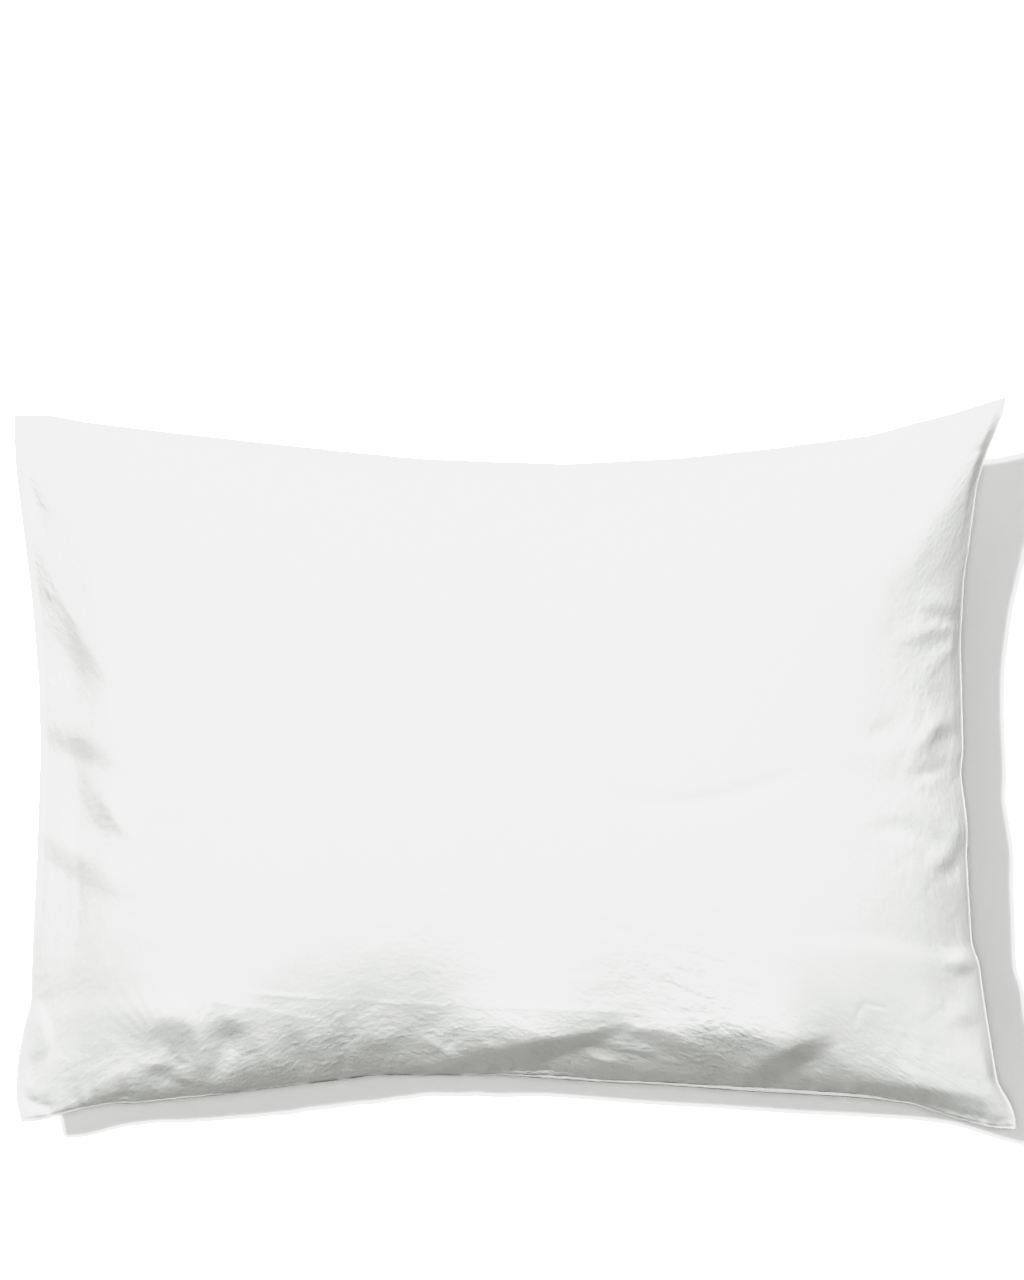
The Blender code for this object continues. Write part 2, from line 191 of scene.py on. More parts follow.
# Fine creases of the washed cloth, in the columns of the folds.
fineCreases = (
    ((0, -80), (20, -89), (45, -101), 1.8, -0.30),
    ((45, -101), (71, -113), (98, -125), 1.8, -0.35),
    ((98, -125), (122, -131), (153, -142), 1.8, -0.35),
    ((89, -131), (115, -143), (143, -152), 1.8, -0.30),
    ((85, -145), (122, -158), (157, -180), 1.8, -0.35),
    ((146, -149), (161, -153), (177, -156), 1.8, -0.3),
    ((160, -164), (178, -176), (195, -190), 1.6, 0.4),
    ((76, -127), (72, -139), (66, -151), 1.8, -0.3),
    ((-197, -157), (-155, -161), (-115, -163), 1.8, 0.32),
    ((-115, -163), (-74, -166), (-38, -167), 1.8, 0.32),
    ((-38, -167), (20, -169), (60, -170), 1.8, 0.35),
    ((60, -170), (108, -175), (143, -176), 1.8, 0.3),
    ((-237, -159), (-215, -163), (-188, -168), 1.8, 0.3),
    ((-188, -168), (-155, -174), (-134, -178), 1.8, 0.3),
    ((223, 216), (230, 209), (234, 202), 2.5, -0.7),
    ((273, 211), (274, 204), (275, 198), 2.5, -0.7),
    ((317, 217), (323, 220), (328, 222), 2.5, -0.7),
    ((235, -182), (239, -173), (243, -165), 1.6, -0.5),
    ((243, -166), (251, -168), (259, -170), 1.6, -0.4),
    ((49, -199), (59, -205), (70, -211), 1.6, 0.7),
    ((279, -10), (287, -13), (297, -12), 2.5, 0.8),
    ((46, -200), (62, -206), (78, -211), 2.5, 1.0),
    ((48, -196), (78, -202), (112, -203), 3.0, -1.2),
    ((-64, -190), (-52, -197), (-41, -205), 2.5, 0.9),
    ((-42, -190), (-51, -198), (-62, -206), 2.5, -0.9),
    ((-324, -60), (-321, -99), (-325, -137), 4.0, -1.0),
    ((-317, -67), (-314, -99), (-316, -130), 4.0, -1.0),
    ((-307, -74), (-305, -102), (-309, -127), 4.0, -0.8),
    ((-336, -206), (-339, -214), (-340, -223), 2.5, -1.0),
)


def sideValues(side, places, axis):  # axis 1 reads a long side's y, axis 0 a short side's x
    rows = np.array(outline[side], float)
    stations, values = rows[:, 1 - axis], rows[:, axis]
    reach = np.minimum(outline["smoothing"],
                       np.minimum(places - stations[0], stations[-1] - places))
    weights = ((-1.0, 1), (-0.5, 2), (0.0, 3), (0.5, 2), (1.0, 1))
    total = sum(weight * np.interp(places + step * reach, stations, values)
                for step, weight in weights)
    return total / sum(weight for step, weight in weights)


def planPoints(s, t):  # s and t run from -1 to 1 across the case
    u, v = (1 + s) / 2, (1 + t) / 2
    footLeft, footRight = outline["foot"][0], outline["foot"][-1]
    headLeft, headRight = outline["head"][0], outline["head"][-1]
    footY = sideValues("foot", footLeft[0] + u * (footRight[0] - footLeft[0]), 1)
    headY = sideValues("head", headLeft[0] + u * (headRight[0] - headLeft[0]), 1)
    leftX = sideValues("left", footLeft[1] + v * (headLeft[1] - footLeft[1]), 0)
    rightX = sideValues("right", footRight[1] + v * (headRight[1] - footRight[1]), 0)
    footX = footLeft[0] + u * (footRight[0] - footLeft[0])
    headX = headLeft[0] + u * (headRight[0] - headLeft[0])
    leftY = footLeft[1] + v * (headLeft[1] - footLeft[1])
    rightY = footRight[1] + v * (headRight[1] - footRight[1])
    corners = [(1 - u) * (1 - v) * footLeft[axis] + u * (1 - v) * footRight[axis]
               + (1 - u) * v * headLeft[axis] + u * v * headRight[axis] for axis in (0, 1)]
    x = (1 - v) * footX + v * headX + (1 - u) * leftX + u * rightX - corners[0]
    y = (1 - v) * footY + v * headY + (1 - u) * leftY + u * rightY - corners[1]
    return x, y


def halfSizes():
    length = outline["foot"][-1][0] - outline["foot"][0][0]
    width = outline["head"][0][1] - outline["foot"][0][1]
    return length / 2, width / 2


def seamSurface(x, y):
    height = np.full_like(x, pillowcase["seamHeight"])
    for liftX, liftY, rise, reach in seamLifts:
        height += rise * np.exp(-((x - liftX)**2 + (y - liftY)**2) / reach**2)
    return height


def fullness(s, t, x, y, face):
    halfLength, halfWidth = halfSizes()
    full = np.ones_like(x)
    rolls = pillowcase["rolls"]
    rows = ((s, halfLength, pillowcase["restLong"], rolls["left"], rolls["right"]),
            (t, halfWidth, pillowcase["restShort"], rolls["foot"], rolls["head"]))
    for place, half, rest, low, high in rows:
        flat = 0.0
        roundness, turn = (np.where(place < 0, low[value], high[value]) for value in (0, 1))
        if face < 0:
            flat, roundness, turn = rest, pillowcase["backRoundness"], pillowcase["backTurn"]
        way = (np.abs(place) - flat) / (1 - pillowcase["lipWidth"] / half - flat)
        full *= (1 - np.clip(way, 0, 1)**roundness)**turn
    slack = np.zeros_like(x)
    for side, end, share, reach in pillowcase["ears"]:
        corner = outline[side][end]
        slack += share * np.exp(-((x - corner[0])**2 + (y - corner[1])**2) / reach**2)
    return np.where(full == 1, 1.0, full * (1 - slack))


def easedIn(away, reach):
    way = np.clip(away / reach, 0, 1)
    return way * way * (3 - 2 * way)


def nearestOnCurve(start, bend, end, x, y, margin, steps=14):
    start, bend, end = (np.array(place, float) for place in (start, bend, end))
    handle = 2 * bend - (start + end) / 2
    at = np.linspace(0, 1, steps + 1)
    curve = (np.outer((1 - at)**2, start) + np.outer(2 * at * (1 - at), handle)
             + np.outer(at**2, end))
    low, high = curve.min(0) - margin, curve.max(0) + margin
    near = np.nonzero((x > low[0]) & (x < high[0]) & (y > low[1]) & (y < high[1]))[0]
    px, py = x[near], y[near]
    nearest = np.full(len(near), np.inf)
    share = np.zeros(len(near))
    hand = np.zeros(len(near))  # 1 on the left of the way, -1 on the right
    for step in range(steps):
        leg = curve[step + 1] - curve[step]
        dx, dy = px - curve[step, 0], py - curve[step, 1]
        onLeg = np.clip((dx * leg[0] + dy * leg[1]) / leg.dot(leg), 0, 1)
        away = np.hypot(dx - onLeg * leg[0], dy - onLeg * leg[1])
        closer = away < nearest
        nearest = np.where(closer, away, nearest)
        share = np.where(closer, (step + onLeg) / steps, share)
        hand = np.where(closer, np.sign(leg[0] * dy - leg[1] * dx), hand)
    return near, nearest, share, hand


def foldRise(folds, x, y, endShare=0.3):  # endShare is what its ends keep of a fold's rise
    rise = np.zeros_like(x)
    for start, bend, end, width, height in folds:
        margin = 3 * width  # past this a fold has died away
        near, away, share = nearestOnCurve(start, bend, end, x, y, margin)[:3]
        taper = endShare + (1 - endShare) * np.sin(np.pi * share)
        rise[near] += np.where(away < margin, height * taper * np.exp(-(away / width)**2), 0)
    return rise


def tuckRise(x, y):
    rise = np.zeros_like(x)
    corner = pillowcase["tuckCorner"]
    for start, bend, end, startWidth, bendWidth, endWidth, steepness, reach in tucks:
        margin = 4 * reach  # past this a tuck has died away
        near, away, share, hand = nearestOnCurve(start, bend, end, x, y, margin)
        taper = np.sin(np.pi * share)**pillowcase["tuckTaper"]
        reach = np.where(hand > 0, reach, pillowcase["tuckSpread"] * reach)
        width = np.interp(share, (0, 0.5, 1), (startWidth, bendWidth, endWidth))
        ramp = away / width / (1 + (away / width)**corner)**(1 / corner)
        fading = np.exp(-(away / reach)**2)
        step = ramp * hand * fading + pillowcase["tuckBulge"] * fading
        rise[near] += steepness * width * taper * step
    return rise


def lipPlaces(s, t):  # moves the rim's rows so that the lip has its own width all round
    halfLength, halfWidth = halfSizes()
    width, blend = pillowcase["lipWidth"], pillowcase["lipBlend"]
    stations, widths = np.array(footLip, float).T
    footWidth = np.interp(s * halfLength, stations, widths)

    def moved(place, half, wanted):
        away = (1 - np.abs(place)) * half
        outer = away * wanted / width
        inner = wanted + (away - width) * (blend - wanted) / (blend - width)
        away = np.where(away < width, outer, np.where(away < blend, inner, away))
        return np.sign(place) * (1 - away / half)

    across = np.where(t < 0, footWidth, pillowcase["sideLip"])
    return moved(s, halfLength, pillowcase["sideLip"]), moved(t, halfWidth, across)


def plainPanel(s, t, face):  # face is 1 for the front and -1 for the back
    x, y = planPoints(*lipPlaces(s, t))
    full = fullness(s, t, x, y, face)
    edge = seamSurface(x, y) + face * pillowcase["lipThickness"] / 2
    height = edge + pillowcase["frontCrown"] * full if face > 0 else edge * (1 - full)
    return np.stack([x, y, height], axis=-1)


def outward(s, t, face, step=0.003):
    inner = 1 - 2 * step
    sIn, tIn = np.clip(s, -inner, inner), np.clip(t, -inner, inner)
    along = plainPanel(sIn + step, tIn, face) - plainPanel(sIn - step, tIn, face)
    across = plainPanel(sIn, tIn + step, face) - plainPanel(sIn, tIn - step, face)
    normal = np.cross(along, across) * face
    return normal / np.linalg.norm(normal, axis=-1, keepdims=True)


def noiseField(x, y, seed, cell):  # smooth random bumps, about -1 to 1, a cell wide
    lattice = 97  # cells before it repeats
    gain = 1.5
    random = np.random.default_rng(seed)
    angle = random.uniform(0, 2 * np.pi, (lattice, lattice))
    gx, gy = np.cos(angle), np.sin(angle)
    px, py = x / cell, y / cell
    ix, iy = np.floor(px).astype(int), np.floor(py).astype(int)
    fx, fy = px - ix, py - iy
    wx, wy = fx**3 * (fx * (fx * 6 - 15) + 10), fy**3 * (fy * (fy * 6 - 15) + 10)
    value = np.zeros_like(px)
    for ox, kx in ((0, 1 - wx), (1, wx)):
        for oy, ky in ((0, 1 - wy), (1, wy)):
            cx, cy = (ix + ox) % lattice, (iy + oy) % lattice
            value += kx * ky * (gx[cx, cy] * (fx - ox) + gy[cx, cy] * (fy - oy))
    return value * gain


# The crinkle that washing leaves, in layers: cell size, stretch along its grain, grain's
# angle in degrees and height. The shares say where the cloth is loose enough to show it.
crinkle = {
    "layers": ((38, 1.3, 25, 2.2), (21, 1.4, -25, 1.05), (12, 1.4, 15, 0.50),
               (7, 1.4, -12, 0.36), (4.4, 1.4, 10, 0.26)),
    "fan": 0.001,  # how the grain bends towards the corners, for a millimetre
    "fanReach": 220.0,
    "sharpness": 0.45,  # share of ridges in it, against soft bumps
    "ridgeLevel": 0.35,  # how high a ridge's crest is, and how fast it drops beside it
    "ridgeGain": 1.4,
    "warp": 0.7,  # how far the grain wanders, as a share of the cell
    "warpCells": 2.5,  # and over how many cells
    "taut": 0.07,  # what the middle of the front keeps
    "rollReach": 105.0,  # how far it runs in from the seam
    "footShare": 1.0,
    "headShare": 0.35,
    "sideShare": 0.6,
    # looser spots: x, y, reach and share
    "patches": ((110, -150, 90, 0.44), (-60, -165, 110, 0.32), (290, -40, 90, 0.5),
                (-290, -60, 80, 0.5), (140, -205, 50, 1.3), (40, -218, 30, 1.2)),
    # where the cloth is pulled smooth: x, y, reach, and the share that it loses
    "calm": ((-346, -251, 110, 0.6), (351, -256, 150, 0.55), (342, 256, 130, 0.6)),
    "frontSeed": 11,  # of the random draws
    "backSeed": 311,
}


def grainPlaces(clothX, clothY):  # along and across the grain, which fans out to the corners
    bend = crinkle["fan"] * clothX**2 * np.tanh(clothY / crinkle["fanReach"])
    return clothX, clothY - bend


def slackness(x, y, s, t):
    halfLength, halfWidth = halfSizes()
    reach = crinkle["rollReach"]
    slack = np.full_like(x, crinkle["taut"])
    sides = (((1 + t) * halfWidth, crinkle["footShare"]),
             ((1 - t) * halfWidth, crinkle["headShare"]),
             ((1 - s) * halfLength, crinkle["sideShare"]),
             ((1 + s) * halfLength, crinkle["sideShare"]))
    for away, share in sides:
        slack = np.maximum(slack, share * easedIn(reach - away, reach))
    for patchX, patchY, patchReach, share in crinkle["patches"]:
        near = np.exp(-((x - patchX)**2 + (y - patchY)**2) / patchReach**2)
        slack = np.maximum(slack, share * near)
    for calmX, calmY, calmReach, lost in crinkle["calm"]:
        slack *= 1 - lost * np.exp(-((x - calmX)**2 + (y - calmY)**2) / calmReach**2)
    return slack


def crinkleRise(clothX, clothY, seed):
    rise = np.zeros_like(clothX)
    grainX, grainY = grainPlaces(clothX, clothY)
    sharp = crinkle["sharpness"]
    for number, (cell, stretch, angle, height) in enumerate(crinkle["layers"]):
        bumpSeed = seed + 10 * number  # each layer draws four fields of its own
        bendXSeed, bendYSeed, ridgeSeed = bumpSeed + 1, bumpSeed + 2, bumpSeed + 3
        turn = math.radians(angle)
        warp, warpCell = crinkle["warp"] * cell, crinkle["warpCells"] * cell
        bentX = grainX + noiseField(clothX, clothY, bendXSeed, warpCell) * warp
        bentY = grainY + noiseField(clothX, clothY, bendYSeed, warpCell) * warp
        along = (bentX * math.cos(turn) + bentY * math.sin(turn)) / stretch
        across = -bentX * math.sin(turn) + bentY * math.cos(turn)
        bumps = noiseField(along, across, bumpSeed, cell)
        ridges = np.abs(noiseField(along, across, ridgeSeed, cell))
        ridges = crinkle["ridgeLevel"] - ridges * crinkle["ridgeGain"]
        rise += height * ((1 - sharp) * bumps + sharp * ridges)
    return rise


# Gathers that the stitching pulls into the cloth along the seam, in millimetres. Each wave
# is read from its own line of the noise, and a finer one rides on the gathers.
gathers = {
    "pitch": 10.0,
    "rise": 1.2,
    "line": 3.3,
    "finerShare": 0.5,  # of the pitch and of the rise
    "finerLine": 7.7,
    "sideShare": 0.2,
    "reach": 12.0,
    "seedStep": 70,  # added to the crinkle's seed
    "lipPitch": 8.0,
    "lipRise": 0.7,
    "lipLine": 5.1,
    "lipSeed": 500,
}


def alongSeam(clothX, clothY):  # place along the nearest side, and how much it gathers
    fromSide = pillowcase["clothLength"] / 2 - np.abs(clothX)
    nearSide = fromSide < pillowcase["clothWidth"] / 2 - np.abs(clothY)
    return np.where(nearSide, clothY, clothX), np.where(nearSide, gathers["sideShare"], 1.0)


def waveAlong(along, line, seed, pitch):
    return noiseField(along, np.full_like(along, line), seed, pitch)


def gatherRise(clothX, clothY, fromSeam, seed):
    along, share = alongSeam(clothX, clothY)
    pitch, finer = gathers["pitch"], gathers["finerShare"]
    wave = waveAlong(along, gathers["line"], seed, pitch)
    wave += finer * waveAlong(along, gathers["finerLine"], seed + 1, pitch * finer)
    return gathers["rise"] * share * wave * np.exp(-(fromSeam / gathers["reach"])**2)


def lipRise(clothX, clothY):
    along, share = alongSeam(clothX, clothY)
    wave = waveAlong(along, gathers["lipLine"], gathers["lipSeed"], gathers["lipPitch"])
    return gathers["lipRise"] * share * wave


def gridPlaces(cells, half, spacing, roll):  # rows, and where they lie on the cloth
    stations, sizes = np.array(spacing, float).T
    samples = 4001
    fine = np.linspace(-1, 1, samples)
    counted = np.concatenate([[0], np.cumsum(1 / np.interp(fine[1:], stations, sizes))])
    lip = pillowcase["lipCells"]
    lipShare = pillowcase["lipWidth"] / half
    even = np.linspace(0, counted[-1], cells - 2 * lip + 1)
    inner = np.interp(even, counted, fine) * (1 - lipShare)
    rim = 1 - lipShare * np.arange(lip) / lip
    places = np.concatenate([-rim, inner, rim[::-1]])
    crown = pillowcase["frontCrown"] * (1 - np.abs(fine)**roll[0])**roll[1]
    lengths = np.concatenate([[0], np.cumsum(np.hypot(np.diff(fine * half), np.diff(crown)))])
    return places, np.interp(places, fine, lengths - lengths[-1] / 2)


def panelPoints(face, every, seed):
    halfLength, halfWidth = halfSizes()
    rowsLong = gridPlaces(pillowcase["cellsLong"], halfLength, pillowcase["spacingLong"],
                          pillowcase["rolls"]["right"])
    rowsShort = gridPlaces(pillowcase["cellsShort"], halfWidth, pillowcase["spacingShort"],
                           pillowcase["rolls"]["foot"])
    sRow, clothXRow = (row[::every] for row in rowsLong)
    tRow, clothYRow = (row[::every] for row in rowsShort)
    s, t = (grid.ravel() for grid in np.meshgrid(sRow, tRow, indexing="ij"))
    clothX, clothY = (grid.ravel() for grid in np.meshgrid(clothXRow, clothYRow, indexing="ij"))
    points = plainPanel(s, t, face)
    x, y = points[:, 0].copy(), points[:, 1].copy()
    fromSeam = np.minimum((1 - np.abs(s)) * halfLength, (1 - np.abs(t)) * halfWidth)
    inward = np.maximum(fromSeam - pillowcase["lipWidth"], 0)
    fade = easedIn(inward, pillowcase["foldFade"])
    rise = foldRise(rollFolds if face > 0 else backPuckers(), x, y) * fade
    if face > 0:
        rise += foldRise(fineCreases, x, y) * fade
    gatherFade = np.clip(inward / pillowcase["gatherFade"], 0, 1)
    slack = slackness(x, y, s, t)
    rise += crinkleRise(clothX, clothY, seed) * slack * fade
    rise += gatherRise(clothX, clothY, inward, seed + gathers["seedStep"]) * gatherFade
    points += outward(s, t, face) * rise[:, None]
    if face > 0:
        points[:, 2] += tuckRise(x, y) * easedIn(inward, pillowcase["tuckFade"])
    onLip = 1 - np.clip(inward / pillowcase["rippleFade"], 0, 1)
    points[:, 2] += onLip * lipRise(clothX, clothY)
    if face < 0:
        points[:, 2] = np.maximum(points[:, 2], 0)
    grain = np.stack([*grainPlaces(clothX, clothY), points[:, 2] * 0], axis=-1)
    return points, slack, grain, (len(sRow), len(tRow))


# Puckers that the back's seam gathers evenly, running in from each side, in millimetres:
# how many on a long and on a short side, and their size.
puckers = {"long": 7, "short": 5, "length": 62.0, "width": 11.0, "rise": -4.0}


def backPuckers():
    folds = []
    for count, fixed in ((puckers["long"], 1), (puckers["short"], 0)):
        for place in range(count):
            share = 2 * (place + 1) / (count + 1) - 1
            for edge in (-1.0, 1.0):
                at = (share, edge) if fixed else (edge, share)
                start = [float(value) for value in planPoints(np.array(at[0]), np.array(at[1]))]
                end = list(start)
                end[fixed] -= edge * puckers["length"]
                bend = [(a + b) / 2 for a, b in zip(start, end)]
                folds.append((start, bend, end, puckers["width"], puckers["rise"]))
    return folds


def gridFaces(rows, columns, first, face):
    faces = []
    for row in range(rows - 1):
        for column in range(columns - 1):
            corner = first + row * columns + column
            ring = (corner, corner + columns, corner + columns + 1, corner + 1)
            faces.append(ring if face > 0 else (ring[0], ring[3], ring[2], ring[1]))
    return faces


def gridRim(rows, columns, first):  # the points round a grid, in order
    rim = [row * columns for row in range(rows)]
    rim += [(rows - 1) * columns + column for column in range(1, columns)]
    rim += [row * columns + columns - 1 for row in range(rows - 2, -1, -1)]
    rim += list(range(columns - 2, 0, -1))
    return [first + index for index in rim]


def makeCase():  # front and back grids, closed along the thin wall of the sewn edge
    step = pillowcase["backStep"]
    front, frontSlack, frontGrain, frontGrid = panelPoints(1, 1, crinkle["frontSeed"])
    back, backSlack, backGrain, backGrid = panelPoints(-1, step, crinkle["backSeed"])
    points = np.concatenate([front, back])
    points[:, 0] -= (points[:, 0].min() + points[:, 0].max()) / 2
    points[:, 1] -= (points[:, 1].min() + points[:, 1].max()) / 2
    faces = gridFaces(*frontGrid, 0, 1) + gridFaces(*backGrid, len(front), -1)
    frontRim, backRim = gridRim(*frontGrid, 0), gridRim(*backGrid, len(front))
    for place, point in enumerate(backRim):
        following = backRim[(place + 1) % len(backRim)]
        beside = [frontRim[(step * place + ahead) % len(frontRim)]
                  for ahead in range(step, -1, -1)]
        faces.append((point, following, *beside))
    mesh = bpy.data.meshes.new(pillowcase["name"])
    mesh.from_pydata((points * mm).tolist(), [], faces)
    mesh.update()
    mesh.shade_smooth()
    slack = mesh.attributes.new("slack", "FLOAT", "POINT")
    slack.data.foreach_set("value", np.concatenate([frontSlack, backSlack]))
    grain = mesh.attributes.new("grain", "FLOAT_VECTOR", "POINT")
    grain.data.foreach_set("vector", np.concatenate([frontGrain, backGrain]).ravel() * mm)
    case = bpy.data.objects.new(pillowcase["name"], mesh)
    bpy.context.scene.collection.objects.link(case)
    print("case made:", len(mesh.vertices), "points,", len(mesh.polygons), "faces")
    return case


# Washed percale: a fine plain weave with uneven threads. Lengths in millimetres.
cotton = {
    "colour": (0.84, 0.85, 0.836, 1.0),
    "roughness": 0.88,
    "specular": 0.25,
    "sheen": 0.12,
    "sheenRoughness": 0.5,
    "threadPitch": 0.55,
    "weaveHeight": 0.008,
    "threadWaver": 1.5,
    "slubWidth": 1.1,
    "slubLength": 22.0,
    "slubDepth": 4.0,
    "slubHeight": 0.04,
    "wrinkleSize": 5.0,
    "wrinkleStretch": 1.4,
    "wrinkleHeight": 0.06,
    "creaseSize": 6.0,  # the finest creases, which lie along the grain where the cloth is slack
    "creaseHeight": 0.8,
    "dimpleSize": 3.0,
    "dimpleHeight": 0.8,
    "grainStretch": 1.35,
    "noiseDetail": 2.0,
}


def cottonMaterial():
    material = bpy.data.materials.new("washedCotton")
    material.use_nodes = True
    nodes, links = material.node_tree.nodes, material.node_tree.links
    shader = nodes["Principled BSDF"]
    shader.inputs["Base Color"].default_value = cotton["colour"]
    shader.inputs["Roughness"].default_value = cotton["roughness"]
    shader.inputs["Specular IOR Level"].default_value = cotton["specular"]
    shader.inputs["Sheen Weight"].default_value = cotton["sheen"]
    shader.inputs["Sheen Roughness"].default_value = cotton["sheenRoughness"]
    place = nodes.new("ShaderNodeTexCoord").outputs["Object"]
    grain = nodes.new("ShaderNodeAttribute")
    grain.attribute_name = "grain"
    slack = nodes.new("ShaderNodeAttribute")
    slack.attribute_name = "slack"

    def stretched(size, kind="FBM", places=place):  # noise, the size of its cells in millimetres
        mapping = nodes.new("ShaderNodeMapping")
        mapping.inputs["Scale"].default_value = [1 / (length * mm) for length in size]
        links.new(places, mapping.inputs["Vector"])
        noise = nodes.new("ShaderNodeTexNoise")
        noise.noise_type = kind
        noise.inputs["Scale"].default_value = 1.0
        noise.inputs["Detail"].default_value = cotton["noiseDetail"]
        links.new(mapping.outputs["Vector"], noise.inputs["Vector"])
        return noise.outputs["Fac"]

    def combined(operation, first, second):
        node = nodes.new("ShaderNodeMath")
        node.operation = operation
        for socket, value in zip(node.inputs, (first, second)):
            if isinstance(value, float):
                socket.default_value = value
            else:
                links.new(value, socket)
        return node.outputs["Value"]

    def bump(height, fac, below=None):
        node = nodes.new("ShaderNodeBump")
        node.inputs["Distance"].default_value = height * mm
        node.inputs["Strength"].default_value = 1.0
        links.new(fac, node.inputs["Height"])
        if below is not None:
            links.new(below, node.inputs["Normal"])
        return node.outputs["Normal"]

    width, length, deep = cotton["slubWidth"], cotton["slubLength"], cotton["slubDepth"]
    wrinkle, crease, dimple = cotton["wrinkleSize"], cotton["creaseSize"], cotton["dimpleSize"]
    wrinkles = stretched((wrinkle, wrinkle * cotton["wrinkleStretch"], wrinkle))
    normal = bump(cotton["wrinkleHeight"], wrinkles)
    drawn, along = cotton["grainStretch"], grain.outputs["Vector"]
    creases = stretched((crease * drawn, crease, crease), "RIDGED_MULTIFRACTAL", along)
    creases = combined("MULTIPLY", creases, cotton["creaseHeight"])
    dimples = stretched((dimple * drawn, dimple, dimple), "FBM", along)
    dimples = combined("MULTIPLY", dimples, cotton["dimpleHeight"])
    both = combined("MULTIPLY", combined("ADD", creases, dimples), slack.outputs["Fac"])
    normal = bump(1.0, both, normal)
    normal = bump(cotton["slubHeight"], stretched((length, width, deep)), normal)
    normal = bump(cotton["slubHeight"], stretched((width, length, deep)), normal)
    bandsRate = 20 / (2 * math.pi)  # bands that the wave node draws in a metre at scale 1
    for direction in ("X", "Y"):
        wave = nodes.new("ShaderNodeTexWave")
        wave.wave_type = "BANDS"
        wave.bands_direction = direction
        wave.inputs["Scale"].default_value = 1 / (cotton["threadPitch"] * mm) / bandsRate
        wave.inputs["Distortion"].default_value = cotton["threadWaver"]
        links.new(place, wave.inputs["Vector"])
        normal = bump(cotton["weaveHeight"], wave.outputs["Fac"], normal)
    links.new(normal, shader.inputs["Normal"])
    print("cotton made")
    return material


# A pale studio: a lamp hangs nearly overhead, a wide softbox stands past the head side, and
# white walls fill in a little. The floor has lights of its own, one of them from the left for
# the shadow, so that the softbox throws no second one. Directions point to the light, and a
# light's share is the part of the full brightness that it gives. Sizes are in metres, heights
# in millimetres and angles in degrees.
studio = {
    "floorSize": 24.0,
    "floorColour": (0.96, 0.96, 0.96, 1.0),
    "floorHeight": -0.3,
    # a floor just below it, which isn't seen, lights the cloth from below
    "bounceColour": (0.40, 0.395, 0.385, 1.0),
    "bounceHeight": -0.4,
    "room": 0.05,  # how bright the walls are
    "lampDirection": (-0.11, 0.07, 0.98),
    "lampShare": 0.60,
    "lampSize": 0.7,
    "softboxDirection": (-0.04, 0.71, 0.70),
    "softboxShare": 0.43,
    "softboxSize": 3.6,
    "lampsAway": 5.0,
    "floorKeyDirection": (-0.468, 0.255, 0.90),
    "floorKeyShare": 1.6,
    "floorKeyAngle": 7.0,
    "floorFillShare": 0.30,
    "floorFillAngle": 12.0,
    "floorRoomShare": 0.26,
    "floorRoomAngle": 110.0,
    "backdrop": 1.3,  # how bright the room looks behind the floor
    # The photo's tones: scene brightness and what it comes out as. The cloth's lights level
    # off just under white, and the floor goes over to white.
    "tones": ((0.0, 0.0), (0.30, 0.19), (0.40, 0.30), (0.50, 0.465), (0.60, 0.622),
              (0.70, 0.755), (0.76, 0.832), (0.80, 0.862), (0.86, 0.878), (0.95, 0.887),
              (1.08, 0.893), (1.16, 1.0), (1.25, 1.0)),
    "lens": 300.0,
    "sensor": 36.0,
    "photoWidth": 1024,
    "photoHeight": 1280,
    "realPerPixel": 0.70,  # millimetres of cloth for a pixel of the photo
    "casePixelX": 515.25,  # where the middle of the case stands in the photo
    "casePixelY": 764.0,
}


def placeLight(light, direction, away, *onlyOn):
    towards = Vector(direction).normalized()
    lamp = bpy.data.objects.new(light.name, light)
    lamp.location = towards * away
    lamp.rotation_euler = towards.to_track_quat("Z", "Y").to_euler()
    bpy.context.scene.collection.objects.link(lamp)
    receivers = bpy.data.collections.new(light.name + "Receivers")
    for receiver in onlyOn:
        receivers.objects.link(receiver)
    lamp.light_linking.receiver_collection = receivers


def addSun(name, direction, share, angle, *onlyOn):
    light = bpy.data.lights.new(name, "SUN")
    light.energy = share * math.pi / Vector(direction).normalized().z
    light.angle = math.radians(angle)
    placeLight(light, direction, studio["lampsAway"], *onlyOn)


def addLamp(name, direction, share, size, *onlyOn):
    away = studio["lampsAway"]
    light = bpy.data.lights.new(name, "AREA")
    light.shape = "DISK"
    light.size = size
    # so a share of 1 lights level cloth as brightly as a sun's share of 1 does
    light.energy = share * (math.pi * away)**2 / Vector(direction).normalized().z
    placeLight(light, direction, away, *onlyOn)


def makeFloor(name, colour, height):
    size = studio["floorSize"] / 2
    mesh = bpy.data.meshes.new(name)
    mesh.from_pydata([(-size, -size, 0), (size, -size, 0), (size, size, 0), (-size, size, 0)],
                     [], [(0, 1, 2, 3)])
    floor = bpy.data.objects.new(name, mesh)
    floor.location.z = height * mm
    bpy.context.scene.collection.objects.link(floor)
    paint = bpy.data.materials.new(name + "Paint")
    paint.use_nodes = True
    shader = paint.node_tree.nodes["Principled BSDF"]
    shader.inputs["Base Color"].default_value = colour
    shader.inputs["Roughness"].default_value = 1.0
    shader.inputs["Specular IOR Level"].default_value = 0.0
    mesh.materials.append(paint)
    return floor


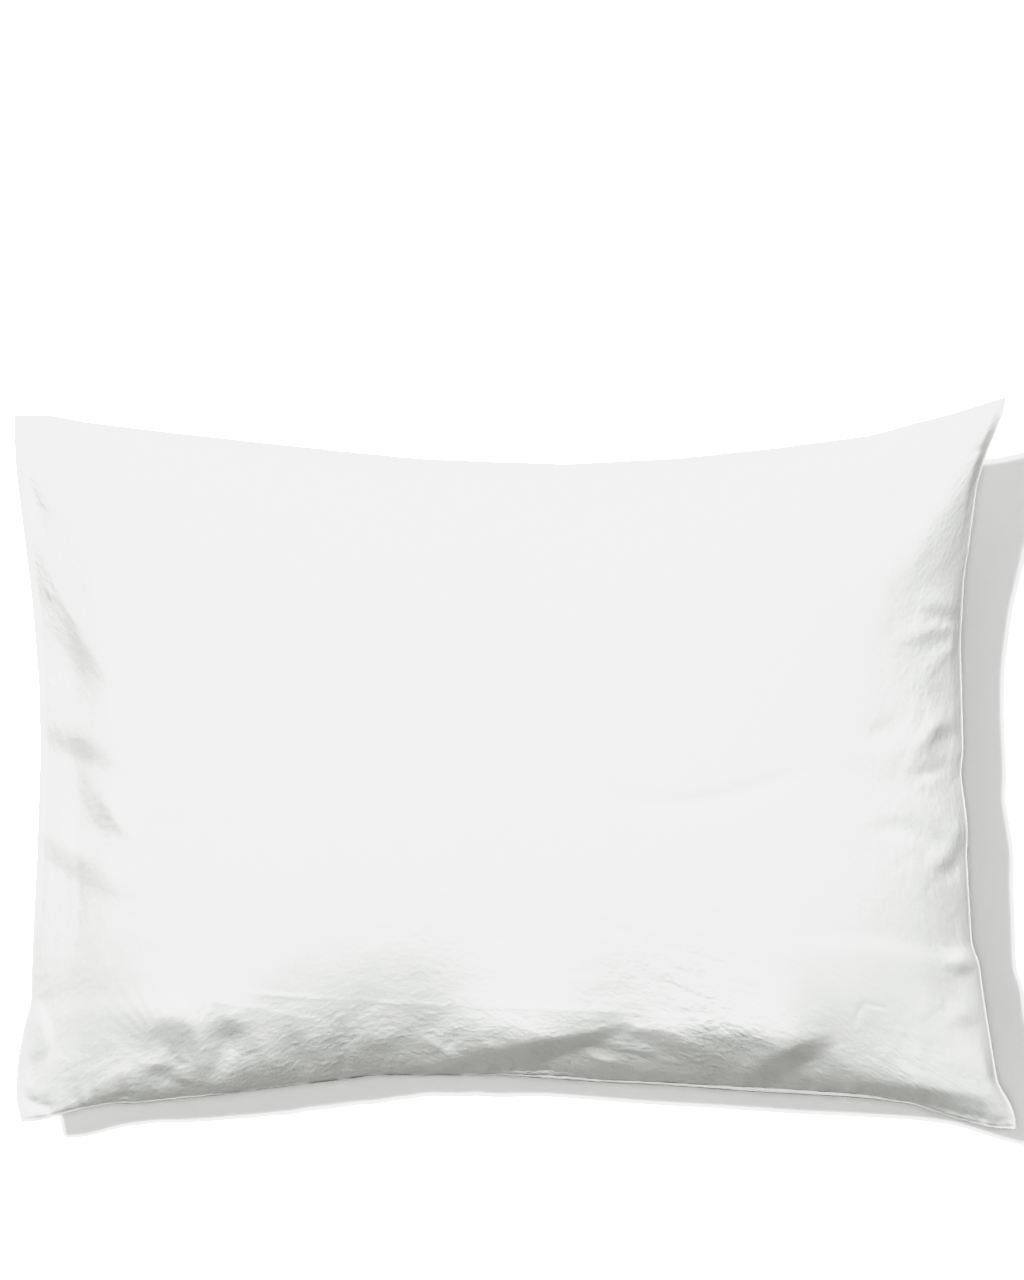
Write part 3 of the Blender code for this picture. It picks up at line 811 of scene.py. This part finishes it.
def makeStudio(case):
    floor = makeFloor("floor", studio["floorColour"], studio["floorHeight"])
    floor.visible_diffuse = floor.visible_shadow = False
    bounce = makeFloor("floorBounce", studio["bounceColour"], studio["bounceHeight"])
    bounce.visible_camera = False
    room = bpy.data.worlds.new("room")
    room.use_nodes = True
    nodes, links = room.node_tree.nodes, room.node_tree.links
    walls, backdrop = nodes["Background"], nodes.new("ShaderNodeBackground")
    walls.inputs["Color"].default_value = backdrop.inputs["Color"].default_value = (1, 1, 1, 1)
    walls.inputs["Strength"].default_value = studio["room"]
    backdrop.inputs["Strength"].default_value = studio["backdrop"]
    seen, either = nodes.new("ShaderNodeLightPath"), nodes.new("ShaderNodeMixShader")
    links.new(seen.outputs["Is Camera Ray"], either.inputs["Fac"])
    links.new(walls.outputs["Background"], either.inputs[1])
    links.new(backdrop.outputs["Background"], either.inputs[2])
    links.new(either.outputs["Shader"], nodes["World Output"].inputs["Surface"])
    bpy.context.scene.world = room
    addLamp("lamp", studio["lampDirection"], studio["lampShare"], studio["lampSize"], case)
    addLamp("softbox", studio["softboxDirection"], studio["softboxShare"],
            studio["softboxSize"], case)
    floors = (floor, bounce)
    addSun("floorKey", studio["floorKeyDirection"], studio["floorKeyShare"],
           studio["floorKeyAngle"], *floors)
    overhead = (0.0, 0.0, 1.0)
    addSun("floorFill", overhead, studio["floorFillShare"], studio["floorFillAngle"], *floors)
    addSun("floorRoom", overhead, studio["floorRoomShare"], studio["floorRoomAngle"], *floors)
    print("studio lit")


def setTones():
    view = bpy.context.scene.view_settings
    view.view_transform = "Standard"
    view.use_curve_mapping = True
    brightest = studio["tones"][-1][0]
    view.curve_mapping.white_level = (brightest, brightest, brightest)
    curve = view.curve_mapping.curves[3]  # the one for all three colours
    curve.points[0].location, curve.points[1].location = (0, 0), (1, 1)
    for scene, shown in studio["tones"][1:-1]:
        curve.points.new(scene / brightest, shown)
    for point in curve.points:
        point.handle_type = "AUTO_CLAMPED"
    view.curve_mapping.update()
    print("tones set")


def makeCamera():  # straight above the middle of the photo's frame
    camera = bpy.data.cameras.new("overhead")
    camera.lens = studio["lens"]
    camera.sensor_width = studio["sensor"]
    stand = bpy.data.objects.new("overhead", camera)
    perPixel = studio["realPerPixel"] * mm
    # the photo's taller side fills the sensor
    away = studio["lens"] / studio["sensor"] * studio["photoHeight"] * perPixel
    stand.location = ((studio["photoWidth"] / 2 - studio["casePixelX"]) * perPixel,
                      (studio["casePixelY"] - studio["photoHeight"] / 2) * perPixel,
                      pillowcase["seamHeight"] * mm + away)
    bpy.context.scene.collection.objects.link(stand)
    bpy.context.scene.camera = stand
    print("camera set", round(away, 3), "metres above the seam")


makeCamera()
case = makeCase()
makeStudio(case)
setTones()
case.data.materials.append(cottonMaterial())
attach(case, "root")
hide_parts("pillowcase")
